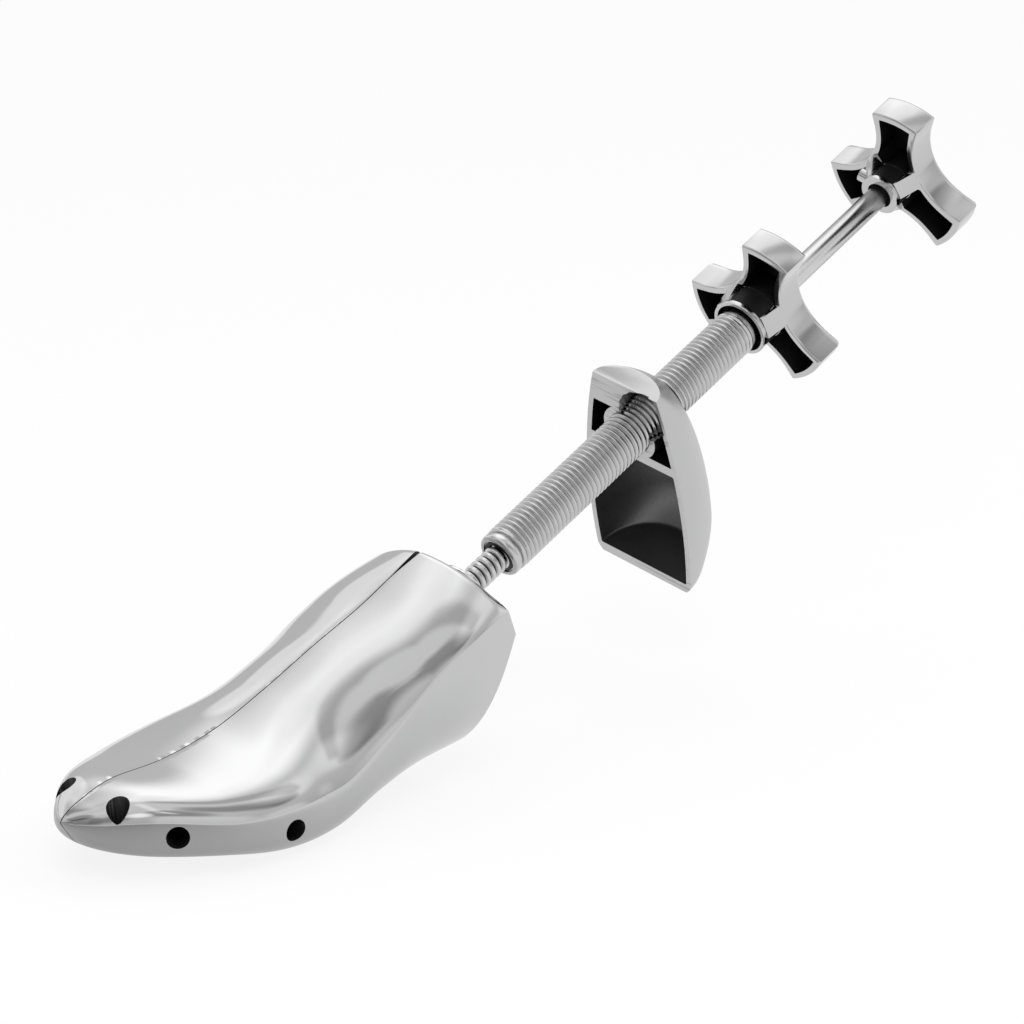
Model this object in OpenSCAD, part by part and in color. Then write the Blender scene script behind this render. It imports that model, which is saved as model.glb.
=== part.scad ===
// Two-way shoe stretcher: a split last on a hinge yoke, spread by a wedge that
// the thin spindle drives, and a heel block that the large threaded tube drives.
// The toe points to -X, the knobs to +X, and the last stands on its tread at z = 0.

/* [Last] */
// Length from the toe to the start of the rear taper
last_l = 180; // [150:1:216]
// Widest half width, at the ball of the foot
last_half_w = 39.6; // [33:0.1:47.5]
// Thickness of the cast walls
last_wall = 3.6; // [2.5:0.1:5]
// Gap between the closed halves
split_gap = 0.4; // [0.3:0.1:1]
// Radius of the plug holes
plug_r = 3.5; // [2.5:0.1:4]

/* [Screw axis] */
// Slope of the screw axis above the sole, degrees
axis_tilt = 26; // [20:1:30]
// Height of the tube's front end above the sole
axis_z = 60; // [56:1:66]
// How far the rear face of the last lies before the tube's front end
rear_face = 24.5; // [22:0.5:30]
// How far the hinge pins lie before the rear face
hinge_set = 14.5; // [13:0.5:16]

/* [Tube] */
// Outer diameter of the threaded tube
tube_d = 16; // [14:0.5:20]
// Length of the tube
tube_l = 146; // [120:1:176]
// How deep the tube's end sits behind the front knob's rim plane
tube_in_knob = 8.3; // [6:0.1:9]

/* [Spindle] */
// Outer diameter of the spindle's thread
thread_d = 9; // [7.5:0.1:10.8]
// Diameter of the smooth rod
rod_d = 8; // [7:0.1:8.2]
// Height of the rear knob's rim plane along the axis
rear_knob_at = 217.2; // [205:0.1:235]

/* [Heel block] */
// Distance of the heel block's front plane along the axis
heel_at = 68.2; // [66:0.1:72]
// Swivel of the heel block about the tube, degrees
heel_swivel = 16; // [0:1:20]
// Greatest depth of the casting behind its front plane
heel_depth = 28.5; // [24:0.5:31]
// Widest half width of the heel block
heel_half_w = 21; // [18:0.5:24]
// Drop of the block's foot below the axis
heel_drop = 66.4; // [56:0.1:70]
// Wall of the casting
heel_wall = 1.9; // [1.5:0.1:2.5]

/* [Knobs] */
// Radius to the tips of the lobes
knob_r = 28; // [24:0.5:32]
// Thickness of the lobes
knob_t = 11.5; // [9:0.5:14]
// Wall of the knob castings
knob_wall = 2.2; // [1.6:0.1:2.8]
// Radius of the hollows between the lobes
scoop_r = 21.8; // [19:0.1:24]

/* [Hidden] */
// Bore of the tube: the front bush between it and the thread has this wall
bush_wall = 0.65;
tube_bore = thread_d + 2 * bush_wall;
// Rim plane of the front knob along the axis
front_knob_at = tube_l - tube_in_knob;
$fn = 48;

// Clearances: pressed seats, running fits and free gaps
seat = 0.03;
run = 0.06;
free = 0.3;
over = 1;
// Longer than anything here is wide, for cuts that go right through
through = 60;

// Middle of the whole length, so that the origin lies under it
x_mid = 18.6;

// Stations of the last from toe to rear, each with its distance before the tube's end,
// half width, sole height, top height, height of the widest line and two section powers
// The rear tops keep their height over the screw axis, which the yoke needs
rear_station = 10;
function at_last(d) = -rear_station - (d - rear_station) * (last_l - rear_station) / 170;
function wide(w) = w * last_half_w / 39.6;
function over_axis(d, h) = axis_z - d * tan(axis_tilt) + h;
STATIONS = [
    [at_last(180), wide(1.2), 17, 19, 18, 2, 2],
    [at_last(177.5), wide(4.3), 15, 20.2, 17, 2, 2.2],
    [at_last(172), wide(12), 9.4, 23.2, 15.7, 2.3, 2.5],
    [at_last(160), wide(23), 5.5, 26.8, 15, 2.5, 3],
    [at_last(140), wide(34.8), 2.7, 27.8, 13.7, 2.3, 3.2],
    [at_last(120), wide(38.9), -0.8, 32, 14.8, 2, 3.2],
    [at_last(100), wide(36.6), -0.5, 39.8, 15.5, 1.9, 3.2],
    [at_last(80), wide(34.2), 3.4, over_axis(80, 27.82), over_axis(80, 1.72), 1.85, 3],
    [at_last(60), wide(34), 6.4, over_axis(60, 26.5), over_axis(60, 2.86), 1.8, 2.8],
    [at_last(40), wide(32.8), 8.1, over_axis(40, 26.5), over_axis(40, 0.4), 1.8, 2.8],
    [at_last(rear_station), wide(26), 9.4, over_axis(10, 28), over_axis(10, -21), 1.5, 3]];
rings_per_station = 3;
ring_points = 18;

// Heel cut: a plane that slopes down and forward from a point just behind the rear face
heel_cut_behind = 4;
heel_cut_below = 15;
heel_cut_tilt = 27;

// Thread and the nut bush round it
thread_r = thread_d / 2;
rod_r = rod_d / 2;
nut_r = thread_r + 2;

// Hinge and wedge, measured along the axis from the tube's front end
hinge_at = -rear_face - hinge_set;
open_angle = 4;
pin_r = 1.25;
pin_proud = 0.4;
knuckle_r = 2.8;
rib_arm = 42;
rib_r = 3;
rib_half_h = 9;
web_t = 3;
wedge_angle = 12.6;
wedge_rate = tan(wedge_angle);
wedge_ahead = 4;
wedge_front = hinge_at - rib_arm - wedge_ahead;
wedge_len = 28;
wedge_nose = 5;
wedge_half_h = nut_r + 0.5;
rib_y = wedge_nose + wedge_ahead * wedge_rate + (rib_r + free) / cos(wedge_angle);

// Hinge yoke round the nut bush
nut_len = 8;
nut_proud = 2;
yoke_half_w = nut_r + 1.5;
yoke_half_h = wedge_half_h;
arm_t = 2.5;
arm_half_w = 5;
arm_in = wedge_half_h + free;
yoke_rear = -rear_face - last_wall - 1;
yoke_step = hinge_at - knuckle_r - 1.5;
yoke_front = yoke_step - 7;
lock_r = 1;
lock_set = 3;
lock_from = 0.8;
bore_free = 0.1;
lug_t = 1.6;
lug_near = yoke_half_h + free;
lug_far = lug_near + lug_t + free;

// Neck of the yoke, and what sits on its rear end
neck_r = thread_r + 1.4;
neck_end = -rear_face - 0.1;
flange_r = neck_r + 1.1;
flange_t = 0.9;
buffer_r = 9.5;
buffer_t = 6.9;
washer_r = 10;
washer_t = 1.1;
washer_at = neck_end + buffer_t + seat;
swing = hinge_set * sin(open_angle);
swing_free = 0.4;
rear_pocket = 2;

// Spindle
thread_front = wedge_front + wedge_len + 0.1;
thread_rear = 5;
tip_r = 3;
tip_at = wedge_front - 0.1;
tip_washer_r = 5.4;
tip_washer_t = 1.4;
screw_r = 1.5;
screw_len = 8;
screw_head_r = 2.8;
screw_head_t = 1.8;
knob_back = knob_wall;
rod_end = rear_knob_at + knob_t - knob_back / 2;

// Return spring and its pegs, ahead of the wedge
spring_at = wedge_front - 21;
spring_r = 3.2;
peg_r = 1.5;
peg_in = 6;
peg_boss_r = 4;
peg_boss_y = 13;
peg_seat = 5;
peg_end_gap = 0.2;

// Tube ends
tube_r = tube_d / 2;
bore_r = tube_bore / 2;
bush_head_t = 1.2;
bush_head_r = bore_r + 1.1;
bush_len = 12;
rear_bush_len = 10;
tube_front = bush_head_t + 0.1;
tube_chamfer = 1.4;

// Knob hubs and pins
front_hub_r = tube_r + 2.2;
front_hub_proud = 10.1;
front_counter_r = tube_r + 0.8;
front_counter = 4;
rear_hub_r = rod_r + 2.5;
rear_hub_proud = 8.8;
scoop_from = 12.3;
scoop_at = scoop_from + scoop_r;
knob_rib = 2;
cross_r = 1.5;
pin_sunk = 0.2;
front_cross_set = 6;
rear_cross_set = 4;
// Angles at which the knobs stand in the photograph
front_knob_turn = 26.5;
rear_knob_turn = 18;

// Heel block, in its own frame: x back along the axis, z up its front face
heel_boss_r = tube_r + 2.6;
heel_top = 21;
heel_arc = 257;
heel_arc_at = -42;
heel_deep_at = -47;
heel_rise = 71.2;
heel_foot = 1.175;
heel_fall = (heel_drop + heel_deep_at) * heel_foot;
heel_corner = 4;
heel_corner_in = 1.8;
heel_rows = 20;
heel_cols = 16;
heel_floor = 3;
web_low = -11.5;
web_high = -7.7;
pocket_top = 8.4;
relief_r = tube_r + 1.4;
relief_from = 22;
relief_tilt = 30;
relief_turn = 31;

// Curve through the values v[0..3] at share s between v[1] and v[2]
function blend4(v, s) = 0.5 * (2 * v[1] + (v[2] - v[0]) * s
    + (2 * v[0] - 5 * v[1] + 4 * v[2] - v[3]) * s * s
    + (3 * v[1] - v[0] - 3 * v[2] + v[3]) * s * s * s);
function row(k) = STATIONS[min(max(k, 0), len(STATIONS) - 1)];
function station(q) = let (k = min(floor(q), len(STATIONS) - 2), s = q - k)
    [for (c = [0:6]) blend4([row(k - 1)[c], row(k)[c], row(k + 1)[c], row(k + 2)[c]], s)];

// Superellipse arc: share of the half axis across, at angle g with power n
function across(g, n) = pow(max(sin(g), 0), 2 / n);
function along(g, n) = pow(abs(cos(g)), 2 / n);

// Half ring of the last from the seam on top round the side to the sole, inset by t
function ring(q, t) = let (p = station(q), w = max(p[1] - t, 0.4), top = p[3] - t, sole = p[2] + t,
        wide = min(max(p[4], sole + 1), top - 1))
    [for (i = [0:ring_points]) let (g = 180 * i / ring_points)
        g <= 90 ? [p[0], w * across(g, p[5]), wide + (top - wide) * along(g, p[5])]
                : [p[0], w * across(g, p[6]), wide - (wide - sole) * along(g, p[6])]];

// Closed solid from rings of equal length, each ring closed by its own straight edge
module loft(rings) {
    n = len(rings[0]);
    m = len(rings);
    points = [for (r = rings) each r];
    sides = [for (j = [0:m - 2], i = [0:n - 1]) let (a = j * n + i, b = j * n + (i + 1) % n)
        each [[a, b, b + n], [a, b + n, a + n]]];
    ends = [[for (i = [n - 1:-1:0]) i], [for (i = [0:n - 1]) (m - 1) * n + i]];
    polyhedron(points, concat(sides, ends), convexity = 6);
}

module in_place() {
    translate([-x_mid, 0, 0]) children();
}

// Frame of the screw axis: x runs up the axis from the tube's front end
module on_axis(at = 0) {
    in_place() translate([0, 0, axis_z]) rotate([0, -axis_tilt, 0]) translate([at, 0, 0]) children();
}

// Round bar along the axis from a to b
module bar(r, a, b) {
    translate([a, 0, 0]) rotate([0, 90, 0]) cylinder(r = r, h = b - a);
}

// Round washer or sleeve along the axis from a to b
module sleeve(outer, inner, a, b) {
    difference() {
        bar(outer, a, b);
        bar(inner, a - over, b + over);
    }
}

// Block between two corners
module span(low, high) {
    translate(low) cube([high[0] - low[0], high[1] - low[1], high[2] - low[2]]);
}

module last_body(t, first) {
    loft([for (k = [first * rings_per_station:(len(STATIONS) - 1) * rings_per_station])
        ring(k / rings_per_station, t)]);
}

// Space behind the last: the rear face is square to the axis, the heel cut slopes below it
module behind_last() {
    on_axis(-rear_face) span([0, -through, -through], [through, through, through]);
    in_place() translate([heel_cut_behind - rear_face, 0, axis_z - heel_cut_below])
        rotate([0, heel_cut_tilt, 0]) span([0, -through, -through], [through, through, 0.5]);
}

// Places, directions and depths of the plug holes on the +Y side
plug_boss_t = 9;
PLUGS = [[[at_last(157), wide(26.5), 14], [-90, 0, 40], plug_boss_t + over],
         [[at_last(122), wide(38.5), 10.5], [-90, 0, 8], plug_boss_t + over],
         [[at_last(168), wide(12), 20.5], [-16, -8, 0], 7]];
plug_out = 15;

module at_plug(p) {
    in_place() translate(p[0]) rotate(p[1]) children();
}

// What stands inside the cavity of a half: rib, rear wall, spring boss, plug bosses, lugs
module half_inside(lug_at) {
    on_axis(hinge_at - rib_arm) {
        translate([0, rib_y, -rib_half_h]) cylinder(r = rib_r, h = 2 * rib_half_h);
        span([-web_t / 2, rib_y, -rib_half_h], [web_t / 2, through, rib_half_h]);
    }
    on_axis(-rear_face) span([-last_wall, -over, -through], [through, through, through]);
    on_axis(spring_at) translate([0, peg_boss_y, 0]) rotate([-90, 0, 0])
        cylinder(r = peg_boss_r, h = through);
    for (p = PLUGS) at_plug(p) translate([0, 0, -plug_boss_t]) cylinder(r = plug_r + 2, h = plug_boss_t + 2);
    for (z = [lug_at, -lug_at - lug_t])
        on_axis(hinge_at) span([-knuckle_r, 0, z], [knuckle_r, through, z + lug_t]);
}

// One half of the last, on the +Y side, with its lugs at the given height about the axis
module last_half(lug_at) {
    difference() {
        union() {
            difference() {
                last_placed();
                difference() {
                    cavity_placed();
                    half_inside(lug_at);
                }
                behind_last();
                in_place() span([-last_l - over, -through, -through], [through, split_gap / 2, 2 * through]);
                on_axis(hinge_at) rotate([0, 0, open_angle])
                    span([0, -through, -through], [through, split_gap / 2 + run, through]);
                on_axis() bar(neck_r + swing + swing_free, -rear_face - last_wall - over, 0);
                on_axis() bar(buffer_r + swing + swing_free, -rear_face - rear_pocket, 0);
            }
            for (z = [lug_at, -lug_at - lug_t])
                on_axis(hinge_at) translate([0, 0, z]) cylinder(r = knuckle_r, h = lug_t);
        }
        in_place() span([-last_l - over, -over, -through], [through, through, 0]);
        on_axis(hinge_at) cylinder(r = pin_r + run, h = 2 * (lug_far + lug_t + over), center = true);
        on_axis(spring_at) translate([0, peg_boss_y - over, 0]) rotate([-90, 0, 0])
            cylinder(r = peg_r + seat, h = peg_seat + over + peg_end_gap);
        for (p = PLUGS) at_plug(p) translate([0, 0, -p[2]]) cylinder(r = plug_r, h = p[2] + plug_out);
    }
}
module last_placed() {
    in_place() last_body(0, 0);
}
module cavity_placed() {
    in_place() last_body(last_wall, 2);
}
module spring_peg() {
    on_axis(spring_at) translate([0, peg_in, 0]) rotate([-90, 0, 0])
        cylinder(r = peg_r, h = peg_boss_y + peg_seat - peg_in);
}

module last_half_near() {
    color([0.86, 0.86, 0.87]) mirror([0, 1, 0]) last_half(lug_near);
}
module last_half_far() {
    color([0.84, 0.84, 0.85]) last_half(lug_far);
}
module spring_peg_near() {
    color([0.6, 0.6, 0.62]) mirror([0, 1, 0]) spring_peg();
}
module spring_peg_far() {
    color([0.6, 0.6, 0.62]) spring_peg();
}
module return_spring() {
    color([0.5, 0.5, 0.52]) on_axis(spring_at) difference() {
        rotate([-90, 0, 0]) cylinder(r = spring_r, h = 2 * (peg_boss_y - free), center = true);
        rotate([-90, 0, 0]) cylinder(r = peg_r + free, h = 2 * peg_boss_y, center = true);
    }
}

// Yoke: a block between the lugs, a deeper head for the nut and two arms round the wedge
module hinge_yoke() {
    color([0.62, 0.62, 0.64]) on_axis() difference() {
        union() {
            span([yoke_step, -yoke_half_w, -yoke_half_h], [yoke_rear, yoke_half_w, yoke_half_h]);
            span([yoke_front, -yoke_half_w, -arm_in - arm_t], [yoke_step, yoke_half_w, arm_in + arm_t]);
            for (z = [arm_in, -arm_in - arm_t])
                span([wedge_front, -arm_half_w, z], [yoke_front, arm_half_w, z + arm_t]);
            bar(neck_r, yoke_rear, neck_end);
            bar(flange_r, neck_end - flange_t, neck_end);
        }
        bar(thread_r + bore_free, yoke_front - over, neck_end + over);
        bar(nut_r + seat, yoke_front - over, yoke_front - nut_proud + nut_len + seat);
        translate([hinge_at, 0, 0]) cylinder(r = pin_r + seat, h = through, center = true);
        translate([yoke_front + lock_set, 0, 0]) rotate([-90, 0, 0]) cylinder(r = lock_r + seat, h = through);
    }
}
module spindle_nut() {
    color([0.78, 0.62, 0.32]) on_axis() difference() {
        bar(nut_r, yoke_front - nut_proud, yoke_front - nut_proud + nut_len);
        bar(thread_r + run, yoke_front - nut_len, yoke_front + nut_len);
        translate([yoke_front + lock_set, thread_r + lock_from - bore_free, 0]) rotate([-90, 0, 0])
            cylinder(r = lock_r + seat, h = through);
    }
}
module nut_pin() {
    color([0.6, 0.6, 0.62]) on_axis(yoke_front + lock_set) translate([0, thread_r + lock_from, 0])
        rotate([-90, 0, 0]) cylinder(r = lock_r, h = yoke_half_w - thread_r - lock_from);
}
module hinge_pins() {
    pin_end = lug_far + lug_t + pin_proud;
    color([0.6, 0.6, 0.62]) for (z = [thread_r + free, -pin_end])
        on_axis(hinge_at) translate([0, 0, z]) cylinder(r = pin_r, h = pin_end - thread_r - free);
}
module buffer_ring() {
    color([0.08, 0.08, 0.08]) on_axis()
        sleeve(buffer_r, thread_r + free + 0.1, neck_end, neck_end + buffer_t);
}
module thrust_washer() {
    color([0.85, 0.85, 0.86]) on_axis() sleeve(washer_r, thread_r + free, washer_at, washer_at + washer_t);
}

module wedge_block() {
    rear_half_w = wedge_nose + wedge_len * wedge_rate;
    color([0.7, 0.7, 0.72]) on_axis() difference() {
        translate([wedge_front, 0, -wedge_half_h]) linear_extrude(2 * wedge_half_h)
            polygon([[0, -wedge_nose], [wedge_len, -rear_half_w], [wedge_len, rear_half_w], [0, wedge_nose]]);
        bar(tip_r + run, wedge_front - over, wedge_front + wedge_len + over);
    }
}

module spindle_rod() {
    color([0.75, 0.75, 0.76]) on_axis() difference() {
        union() {
            bar(tip_r, tip_at, thread_front);
            bar(thread_r, thread_front, thread_rear);
            bar(rod_r, thread_rear, rod_end);
        }
        bar(screw_r + seat, tip_at - over, tip_at + screw_len + 0.5);
        at_rear_pin() cylinder(r = cross_r + seat, h = through, center = true);
    }
}
module tip_washer() {
    color([0.75, 0.75, 0.76]) on_axis() sleeve(tip_washer_r, screw_r + 0.2, tip_at - tip_washer_t, tip_at);
}
module tip_screw() {
    color([0.6, 0.6, 0.62]) on_axis() {
        bar(screw_r, tip_at - tip_washer_t, tip_at + screw_len);
        bar(screw_head_r, tip_at - tip_washer_t - screw_head_t, tip_at - tip_washer_t);
    }
}

// Three-lobed outline, with one lobe straight up
module lobes(inset) {
    difference() {
        circle(knob_r - inset);
        for (k = [0:2]) rotate(120 * k) translate([scoop_at, 0]) circle(scoop_r + inset);
    }
}

// Cast knob, open to the front, with a hub that stands proud of its rim
module knob_casting(at, hub_r, proud) {
    translate([at, 0, 0]) rotate([0, 90, 0]) {
        difference() {
            linear_extrude(knob_t) lobes(0);
            translate([0, 0, -over]) linear_extrude(knob_t - knob_back + over) difference() {
                lobes(knob_wall);
                circle(hub_r);
                for (k = [0:2]) rotate(120 * k) translate([0, -knob_rib / 2]) square([knob_r, knob_rib]);
            }
        }
        translate([0, 0, -proud]) cylinder(r = hub_r, h = proud + knob_t);
    }
}
module at_front_pin() {
    rotate([front_knob_turn, 0, 0])
        translate([front_knob_at - front_hub_proud + front_cross_set, 0, 0]) children();
}
module at_rear_pin() {
    rotate([rear_knob_turn, 0, 0])
        translate([rear_knob_at - rear_hub_proud + rear_cross_set, 0, 0]) children();
}
module front_knob() {
    hub = front_knob_at - front_hub_proud;
    color([0.86, 0.86, 0.87]) on_axis() difference() {
        rotate([front_knob_turn, 0, 0]) knob_casting(front_knob_at, front_hub_r, front_hub_proud);
        bar(front_counter_r, hub - over, hub + front_counter);
        bar(tube_r + seat, hub, tube_l + 0.2);
        bar(rod_r + 2 * free, hub, front_knob_at + knob_t + over);
        at_front_pin() cylinder(r = cross_r + seat, h = through);
    }
}
module front_knob_pin() {
    color([0.6, 0.6, 0.62]) on_axis() at_front_pin() translate([0, 0, bore_r + free])
        cylinder(r = cross_r, h = front_hub_r - bore_r - free - pin_sunk);
}
module rear_knob() {
    hub = rear_knob_at - rear_hub_proud;
    color([0.86, 0.86, 0.87]) on_axis() difference() {
        rotate([rear_knob_turn, 0, 0]) knob_casting(rear_knob_at, rear_hub_r, rear_hub_proud);
        bar(rod_r + seat, hub - over, rod_end + 0.1);
        at_rear_pin() cylinder(r = cross_r + seat, h = through, center = true);
    }
}
module rear_knob_pin() {
    color([0.6, 0.6, 0.62]) on_axis() at_rear_pin()
        cylinder(r = cross_r, h = 2 * (rear_hub_r - pin_sunk), center = true);
}

module tube_front_bush() {
    color([0.7, 0.7, 0.72]) on_axis() difference() {
        union() {
            bar(bush_head_r, 0, bush_head_t);
            bar(bore_r - run, bush_head_t, bush_len);
        }
        bar(thread_r + run, -over, bush_len + over);
    }
}
module length_tube() {
    color([0.72, 0.72, 0.74]) on_axis() difference() {
        union() {
            translate([tube_front, 0, 0]) rotate([0, 90, 0])
                cylinder(r1 = tube_r - tube_chamfer, r2 = tube_r, h = tube_chamfer);
            bar(tube_r, tube_front + tube_chamfer, tube_l);
        }
        bar(bore_r, tube_front - over, tube_l + over);
        at_front_pin() cylinder(r = cross_r + seat, h = through);
    }
}
module tube_rear_bush() {
    color([0.78, 0.62, 0.32]) on_axis()
        sleeve(bore_r - seat, rod_r + run, tube_l - rear_bush_len, tube_l - seat);
}

// Half width and depth of the heel block at height z
function heel_w(z) = heel_half_w - heel_arc + sqrt(heel_arc * heel_arc - pow(z - heel_arc_at, 2))
    - pow(max(heel_corner - heel_drop - z, 0) / heel_corner, 2) * heel_corner_in;
function heel_d(z) = let (s = (z - heel_deep_at) / (z > heel_deep_at ? heel_rise : heel_fall))
    heel_depth * sqrt(max(1 - s * s, 0.02));
// Rows of D-shaped rings from height a to b, inset by t, their flat side at x = front
function heel_rings(a, b, t, front, rows) = [for (j = [0:rows]) let (z = a + (b - a) * j / rows)
    concat([[front, heel_w(z) - t, z]],
        [for (i = [0:heel_cols]) let (g = 90 - 180 * i / heel_cols)
            [(heel_d(z) - t) * cos(g), (heel_w(z) - t) * sin(g), z]],
        [[front, t - heel_w(z), z]])];
module heel_shell(a, b, t, front, rows) {
    loft(heel_rings(a, b, t, front, rows));
}
module heel_block() {
    color([0.8, 0.8, 0.81]) on_axis(heel_at) rotate([heel_swivel, 0, 0]) difference() {
        heel_shell(-heel_drop, heel_top, 0, -0.01, heel_rows);
        heel_shell(heel_floor - heel_drop, web_low, heel_wall, -over, 12);
        difference() {
            heel_shell(web_high, pocket_top, heel_wall, -over, 4);
            bar(heel_boss_r, -2 * over, through);
        }
        bar(tube_r + run, -through, through);
        translate([relief_from, 0, 0]) rotate([relief_turn, 0, 0]) rotate([0, relief_tilt, 0])
            bar(relief_r, -through, 0);
    }
}

hinge_yoke();
spindle_nut();
nut_pin();
hinge_pins();
buffer_ring();
thrust_washer();
return_spring();
last_half_near();
spring_peg_near();
last_half_far();
spring_peg_far();
wedge_block();
spindle_rod();
tip_washer();
tip_screw();
rear_knob();
rear_knob_pin();
tube_front_bush();
length_tube();
tube_rear_bush();
front_knob();
front_knob_pin();
heel_block();
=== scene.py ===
"""Looks of the two-way shoe stretcher: a polished split last, a threaded tube with its heel
block, a thin spindle and two cast knobs. Metres; the toe points to -X, the last stands on z = 0."""
import math

import bmesh
import bpy
import numpy as np
from mathutils import Euler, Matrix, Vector


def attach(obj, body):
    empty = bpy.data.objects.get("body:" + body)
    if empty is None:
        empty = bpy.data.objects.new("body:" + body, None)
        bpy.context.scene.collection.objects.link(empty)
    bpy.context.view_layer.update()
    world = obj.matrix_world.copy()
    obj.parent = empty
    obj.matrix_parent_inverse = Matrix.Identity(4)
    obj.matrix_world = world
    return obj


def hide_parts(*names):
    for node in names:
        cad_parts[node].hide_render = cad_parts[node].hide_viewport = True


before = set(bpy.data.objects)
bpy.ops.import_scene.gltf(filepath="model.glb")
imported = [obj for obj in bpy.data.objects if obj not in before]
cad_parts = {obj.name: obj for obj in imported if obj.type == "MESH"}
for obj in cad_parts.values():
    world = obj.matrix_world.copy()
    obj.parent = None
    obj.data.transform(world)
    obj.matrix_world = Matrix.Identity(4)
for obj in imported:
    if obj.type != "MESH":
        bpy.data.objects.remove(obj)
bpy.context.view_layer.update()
MM = 0.001

# Camera
# It looks down at the object over the near half's toe, from a little over a metre, as the
# photograph does.
EYE = (-0.8249, -0.8076, 0.4025)
TURN_FROM_Y, LOOK_DOWN = 45.19, 16.0
camera_data = bpy.data.cameras.new("camera")
camera_data.sensor_width = 36.0
camera_data.lens = 131.2
camera_data.clip_end = 20.0
camera = bpy.data.objects.new("camera", camera_data)
camera.location = EYE
camera.rotation_euler = (math.radians(90 - LOOK_DOWN), 0, math.radians(-TURN_FROM_Y))
bpy.context.scene.collection.objects.link(camera)
bpy.context.scene.camera = camera


# Surroundings
# A white floor and a pale studio: soft white panels with grey between them, which the
# polished castings mirror. The camera sees the floor as plain white; the mirror images see it
# white with one soft grey patch, a painted reflection.
class Val:
    """A shader value: Python operators on it add Math nodes."""

    def __init__(self, tree, socket):
        self.tree, self.socket = tree, socket

    def math(self, operation, *others):
        node = self.tree.nodes.new("ShaderNodeMath")
        node.operation = operation
        for slot, value in zip(node.inputs, (self, *others)):
            if isinstance(value, Val):
                self.tree.links.new(value.socket, slot)
            else:
                slot.default_value = value
        return Val(self.tree, node.outputs[0])

    def __add__(self, other):
        return self.math("ADD", other)

    __radd__ = __add__

    def __mul__(self, other):
        return self.math("MULTIPLY", other)

    __rmul__ = __mul__

    def __sub__(self, other):
        return self.math("SUBTRACT", other)

    def __rsub__(self, other):
        return (self * -1.0) + other

    def clamp(self):
        return self.math("MAXIMUM", 0.0).math("MINIMUM", 1.0)

    def step(self, low, high):
        """0 below low, 1 above high, smooth between them."""
        node = self.tree.nodes.new("ShaderNodeMapRange")
        node.interpolation_type = "SMOOTHSTEP"
        self.tree.links.new(self.socket, node.inputs["Value"])
        node.inputs["From Min"].default_value = low
        node.inputs["From Max"].default_value = high
        return Val(self.tree, node.outputs[0])


class Shade:
    """Nodes of one material or of the world. add() makes a node from its settings and sockets."""

    def __init__(self, tree):
        self.tree = tree
        tree.nodes.clear()

    def add(self, kind, settings=None, sockets=None, output=0):
        node = self.tree.nodes.new("ShaderNode" + kind)
        for name, value in (settings or {}).items():
            setattr(node, name, value)
        for name, value in (sockets or {}).items():
            if isinstance(value, Val):
                self.tree.links.new(value.socket, node.inputs[name])
            else:
                node.inputs[name].default_value = value
        return Val(self.tree, node.outputs[output]) if node.outputs else None

    def grey(self, level):
        """A colour whose three parts are one level."""
        return self.add("CombineColor", sockets={"Red": level, "Green": level, "Blue": level})


def toward(azimuth, elevation):
    """Direction at an azimuth from +Y towards +X and an elevation, in degrees."""
    a, e = math.radians(azimuth), math.radians(elevation)
    return np.array([math.sin(a) * math.cos(e), math.cos(a) * math.cos(e), math.sin(e)])


# Soft round cards: azimuth, elevation, angles at which a card is full and gone, brightness added.
CARDS = [
    (39, 58, 4.5, 32.5, 0.83),
    (41, 70, 2.1, 12.4, -0.25),
    (0, 50, 7.8, 22.9, -0.47),
    (133, 46, 7.7, 21.3, 0.29),
    (156, -3, 8.6, 23.6, 0.26),
    (195, 6, 15.2, 26.6, 0.22),
    (255, 22, 10.1, 25.6, -0.45),
    (278, 42, 8.5, 17, -0.42),
    (2, 24, 18.2, 20.2, 0.38),
    (205, 39, 7.5, 18, -0.39),
    (110, 9, 6.7, 18.3, 0.37),
    (227, 33, 4.2, 12.4, 0.65),
    (285, 5, 8.2, 20.7, -0.30)]
# Soft straight cards: both ends, angles from the middle line at which one is full and gone,
# brightness added.
STREAKS = [
    ((183, 60), (149, 31), 4.1, 16.7, -0.47),
    ((45, 86), (134, 44), 2.4, 7.4, -0.31),
    ((184, 58), (223, 56), 0.9, 1.9, 0.10),
    ((203, 39), (204, 41), 0.7, 3.1, 0.53),
    ((208, 41), (273, 82), 0.8, 5.4, 0.31),
    ((259, 10), (273, 67), 1.9, 5.7, 0.09)]
SKY_LEVEL, SKY_SLOPE = 0.635, 0.316


def make_world():
    """World: a grey level plus soft cards. A round card is a smooth step of the cosine of the
    angle from its middle, a straight one of the sine of the angle from its middle line."""
    world = bpy.data.worlds.new("studio")
    bpy.context.scene.world = world
    world.use_nodes = True
    shade = Shade(world.node_tree)
    place = shade.add("TexCoord", output=0)

    def along(direction):
        sockets = {0: place, 1: direction}
        return shade.add("VectorMath", {"operation": "DOT_PRODUCT"}, sockets, output=1)

    level = SKY_LEVEL + along((0, 0, 1)) * SKY_SLOPE
    for azimuth, elevation, full, gone, amount in CARDS:
        card = along(toward(azimuth, elevation))
        card = card.step(math.cos(math.radians(gone)), math.cos(math.radians(full)))
        level = level + card * amount
    for first, second, full, gone, amount in STREAKS:
        a, b = toward(*first), toward(*second)
        pole, middle = np.cross(a, b), a + b
        off = along(pole / np.linalg.norm(pole)).math("ABSOLUTE")
        half = math.acos(a @ b) / 2
        reach = along(middle / np.linalg.norm(middle))
        reach = reach.step(math.cos(half + 0.1), math.cos(half - 0.05))
        line = 1 - off.step(math.sin(math.radians(full)), math.sin(math.radians(gone)))
        level = level + line * reach * amount
    sky = shade.grey(level.math("MAXIMUM", 0.02))
    light = shade.add("Background", sockets={"Color": sky, "Strength": 1.0})
    shade.add("OutputWorld", sockets={"Surface": light})


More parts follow.
